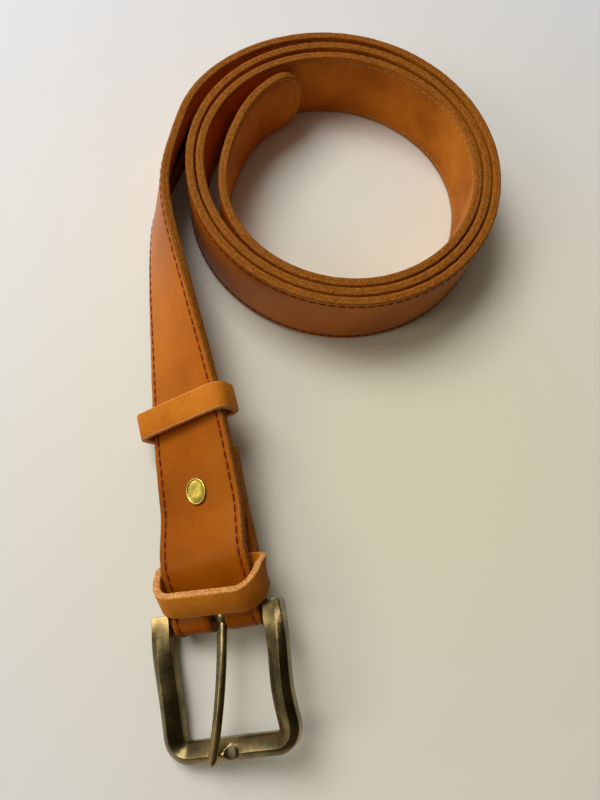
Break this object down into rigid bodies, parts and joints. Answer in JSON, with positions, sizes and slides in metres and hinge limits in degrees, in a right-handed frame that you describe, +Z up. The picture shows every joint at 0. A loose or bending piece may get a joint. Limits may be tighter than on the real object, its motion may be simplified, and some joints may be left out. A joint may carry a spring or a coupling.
{
  "type": "money belt",
  "caption": "Rolled leather travel belt with a prong buckle, two keepers, a screw rivet and a zipped money pocket along its lining.",
  "frame": {"origin": "middle of the bounding box on the ground that the rolled belt stands on", "axes": "+Z up, across the strap of the standing coil; +Y from the buckle towards the coil; +X to the right when looking from the buckle towards the coil"},
  "size_m": [0.1618, 0.2802, 0.0331],
  "materials": {
    "grain_leather": "smooth waxed grain",
    "lining_leather": "matt flesh side",
    "keeper_leather": "smooth waxed grain",
    "needle_thread": "waxed thread",
    "bobbin_thread": "waxed thread",
    "antique_brass": "antiqued, rubbed bright on the ridges",
    "bar_steel": "dull plated",
    "rivet_brass": "polished",
    "zip_tape": "woven",
    "zip_teeth": "nylon",
    "zip_metal": "antiqued"
  },
  "bodies": {
    "strap": {"strap_face": "grain_leather", "strap_lining": "lining_leather", "needle_thread": "needle_thread", "bobbin_thread": "bobbin_thread", "pocket_thread": "bobbin_thread", "zip_tape_upper": "zip_tape", "zip_tape_lower": "zip_tape", "zip_teeth_upper": "zip_teeth", "zip_teeth_lower": "zip_teeth", "zip_top_stop": "zip_metal", "zip_bottom_stop": "zip_metal", "rivet_post": "rivet_brass", "rivet_screw": "rivet_brass", "fixed_keeper": "keeper_leather"},
    "buckle": {"buckle_frame": "antique_brass", "buckle_bar": "bar_steel"},
    "prong": {"prong": "antique_brass"},
    "keeper": {"free_keeper": "keeper_leather"},
    "slider": {"zip_slider": "zip_metal"},
    "pull": {"zip_pull": "zip_metal"}
  },
  "joints": [
    {"name": "buckle_hinge", "type": "hinge", "parent": "strap", "child": "buckle", "pos_m": [-0.05725, -0.0935, 0.0126], "axis": [0.9304, 0, 0.3665], "range_deg": [-15, 75]},
    {"name": "prong_hinge", "type": "hinge", "parent": "buckle", "child": "prong", "pos_m": [-0.05725, -0.0935, 0.0126], "axis": [-0.9304, 0, -0.3665], "range_deg": [0, 45]},
    {"name": "free_keeper_slide", "type": "slide", "parent": "strap", "child": "keeper", "axis": [0.0374, -0.9957, 0.0853], "range_m": [0, 0.007]},
    {"name": "zip_slide", "type": "slide", "parent": "strap", "child": "slider", "axis": [-0.0404, 0.9985, 0.036], "range_m": [0, 0.007]},
    {"name": "zip_pull_hinge", "type": "hinge", "parent": "slider", "child": "pull", "pos_m": [-0.05822, 0.01555, 0.01192], "axis": [-0.6018, -0.0247, -0.7983], "range_deg": [0, 110]}
  ]
}
